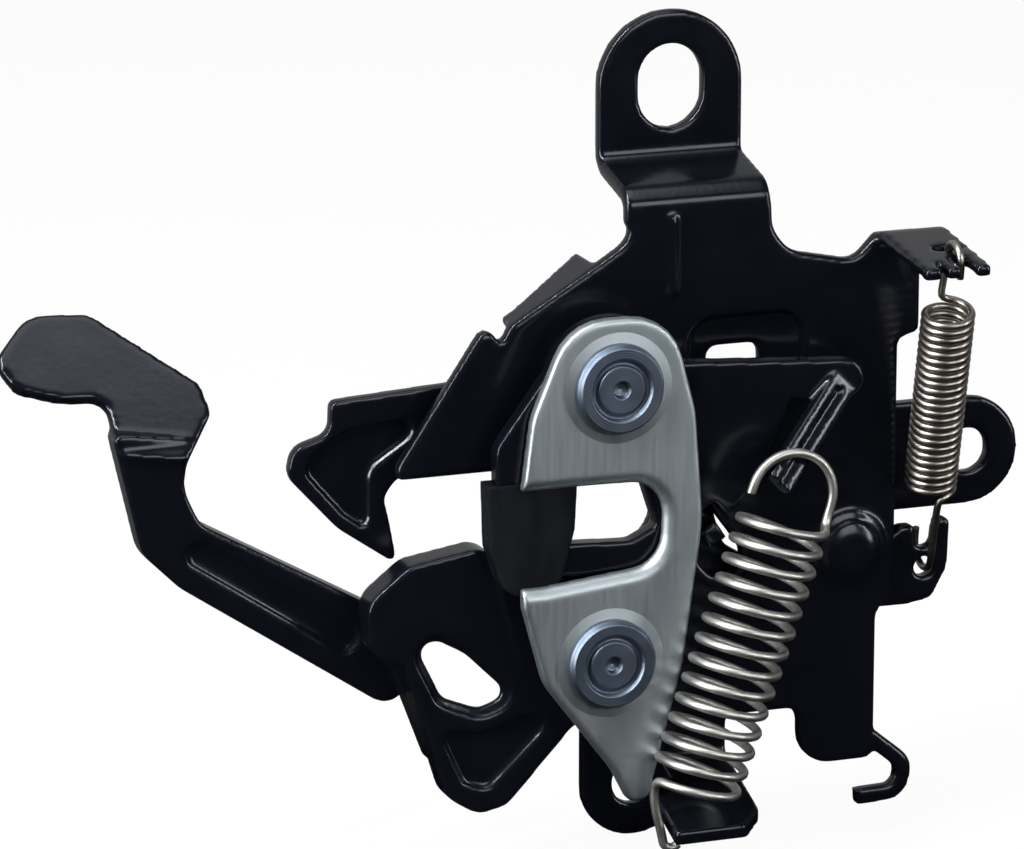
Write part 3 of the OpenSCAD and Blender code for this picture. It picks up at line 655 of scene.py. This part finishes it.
def ray_kinds(tree):
    """1 for the camera's rays, and 1 for mirror and glass rays."""
    path = tree.nodes.new("ShaderNodeLightPath")
    mirrored = tree.nodes.new("ShaderNodeMath")
    mirrored.operation = "MAXIMUM"
    tree.links.new(path.outputs["Is Glossy Ray"], mirrored.inputs[0])
    tree.links.new(path.outputs["Is Transmission Ray"], mirrored.inputs[1])
    return path.outputs["Is Camera Ray"], mirrored.outputs["Value"]


def weigh(tree, operation, first, second, third=None):
    """A math node of sockets or numbers."""
    node = tree.nodes.new("ShaderNodeMath")
    node.operation = operation
    for value, socket in zip((first, second, third), node.inputs):
        if isinstance(value, (int, float)):
            socket.default_value = value
        elif value is not None:
            tree.links.new(value, socket)
    return node.outputs["Value"]


def behind(tree, coordinate, start, end, most):
    """0 in front of start and most behind end, along y."""
    parts = tree.nodes.new("ShaderNodeSeparateXYZ")
    place = tree.nodes.new("ShaderNodeTexCoord")
    tree.links.new(place.outputs[coordinate], parts.inputs["Vector"])
    ramp = tree.nodes.new("ShaderNodeMapRange")
    ramp.inputs["From Min"].default_value = start
    ramp.inputs["From Max"].default_value = end
    ramp.inputs["To Max"].default_value = most
    tree.links.new(parts.outputs["Y"], ramp.inputs["Value"])
    return ramp.outputs["Result"]


class LATCH_OT_set_stage(bpy.types.Operator):
    """Sets camera, floor, lamps and background"""

    bl_idname = "latch.set_stage"
    bl_label = "Set stage"

    def execute(self, context):
        stage = context.scene.latch_stage
        aim = Vector(stage.aim)
        self.set_camera(context.scene, stage, aim)
        self.lay_floor(context.scene, stage)
        self.hang_lamps(aim)
        self.light_world(context.scene, stage)
        context.scene.view_settings.view_transform = "Standard"
        return {"FINISHED"}

    def set_camera(self, scene, stage, aim):
        lens = bpy.data.cameras.new("photo_view")
        lens.lens = stage.lens
        lens.sensor_width = 36
        lens.clip_start = 0.01
        camera = bpy.data.objects.new("photo_view", lens)
        flat = math.cos(stage.elevation)
        back = Vector((-math.sin(stage.azimuth) * flat, -math.cos(stage.azimuth) * flat,
                       math.sin(stage.elevation)))
        camera.location = aim + stage.distance * back
        camera.rotation_euler = (-back).to_track_quat("-Z", "Y").to_euler()
        scene.collection.objects.link(camera)
        scene.camera = camera

    def lay_floor(self, scene, stage):
        mesh = bpy.data.meshes.new("studio_floor")
        shape = bmesh.new()
        bmesh.ops.create_grid(shape, x_segments=1, y_segments=1, size=FLOOR_HALF)
        bmesh.ops.translate(shape, verts=shape.verts, vec=(0, 0, CAD_BOX[0][2] - FLOOR_GAP))
        shape.to_mesh(mesh)
        shape.free()
        floor = bpy.data.objects.new("studio_floor", mesh)
        scene.collection.objects.link(floor)
        material = bpy.data.materials.new("pale_floor")
        material.use_nodes = True
        tree = material.node_tree
        paint = tree.nodes["Principled BSDF"]
        paint.inputs["Base Color"].default_value = (*stage.floor, 1)
        paint.inputs["Roughness"].default_value = FLOOR_ROUGHNESS
        glow = tree.nodes.new("ShaderNodeEmission")
        mix = tree.nodes.new("ShaderNodeMixShader")
        camera, mirrored = ray_kinds(tree)
        back = behind(tree, "Object", *FLOOR_FADE, MIRROR_GLOW)
        seen = weigh(tree, "MULTIPLY_ADD", camera, CAMERA_GLOW, mirrored)
        tree.links.new(seen, mix.inputs["Fac"])
        tree.links.new(weigh(tree, "MULTIPLY_ADD", mirrored, back, camera), glow.inputs["Strength"])
        tree.links.new(paint.outputs["BSDF"], mix.inputs[1])
        tree.links.new(glow.outputs["Emission"], mix.inputs[2])
        tree.links.new(mix.outputs["Shader"], tree.nodes["Material Output"].inputs["Surface"])
        mesh.materials.append(material)

    def hang_lamps(self, aim):
        for name, offset, width, height, power in LAMPS:
            softbox(name, aim + Vector(offset), aim, width, height, power)

    def light_world(self, scene, stage):
        world = bpy.data.worlds.new("studio")
        world.use_nodes = True
        tree = world.node_tree
        dim = tree.nodes["Background"]
        dim.inputs["Color"].default_value = (1, 1, 1, 1)
        dim.inputs["Strength"].default_value = stage.ambient
        white = tree.nodes.new("ShaderNodeBackground")
        white.inputs["Color"].default_value = (1, 1, 1, 1)
        mix = tree.nodes.new("ShaderNodeMixShader")
        camera, mirrored = ray_kinds(tree)
        back = behind(tree, "Generated", *SKY_FADE, MIRROR_GLOW)
        tree.links.new(weigh(tree, "MULTIPLY_ADD", mirrored, back, camera), mix.inputs["Fac"])
        tree.links.new(dim.outputs["Background"], mix.inputs[1])
        tree.links.new(white.outputs["Background"], mix.inputs[2])
        tree.links.new(mix.outputs["Shader"], tree.nodes["World Output"].inputs["Surface"])
        scene.world = world


class LATCH_PT_dresser(bpy.types.Panel):
    """Lists the steps that dress the latch"""

    bl_idname = "LATCH_PT_dresser"
    bl_label = "Bonnet latch"
    bl_space_type = "VIEW_3D"
    bl_region_type = "UI"
    bl_category = "Latch"

    def draw(self, context):
        for step in STEPS:
            self.layout.operator(step.bl_idname)
        for group in (context.scene.latch_finishes, context.scene.latch_springs,
                      context.scene.latch_stage):
            column = self.layout.column()
            for name in group.__annotations__:
                column.prop(group, name)


STEPS = (LATCH_OT_set_stage, LATCH_OT_paint_pressings, LATCH_OT_plate_front, LATCH_OT_turn_steel,
         LATCH_OT_grease_jaw, LATCH_OT_wind_lift_spring, LATCH_OT_wind_pawl_spring,
         LATCH_OT_finish_return_springs)
GROUPS = {"latch_finishes": LatchFinishes, "latch_springs": LatchSprings, "latch_stage": LatchStage}


def register():
    for cls in (*GROUPS.values(), *STEPS, LATCH_PT_dresser):
        bpy.utils.register_class(cls)
    for name, group in GROUPS.items():
        setattr(bpy.types.Scene, name, bpy.props.PointerProperty(type=group))


def unregister():
    for name in GROUPS:
        delattr(bpy.types.Scene, name)
    for cls in reversed((*GROUPS.values(), *STEPS, LATCH_PT_dresser)):
        bpy.utils.unregister_class(cls)


def main():
    register()
    bpy.ops.latch.set_stage()
    bpy.ops.latch.paint_pressings()
    bpy.ops.latch.plate_front()
    bpy.ops.latch.turn_steel()
    bpy.ops.latch.grease_jaw()
    bpy.ops.latch.wind_lift_spring()
    bpy.ops.latch.wind_pawl_spring()
    bpy.ops.latch.finish_return_springs()


if __name__ == "__main__":
    main()
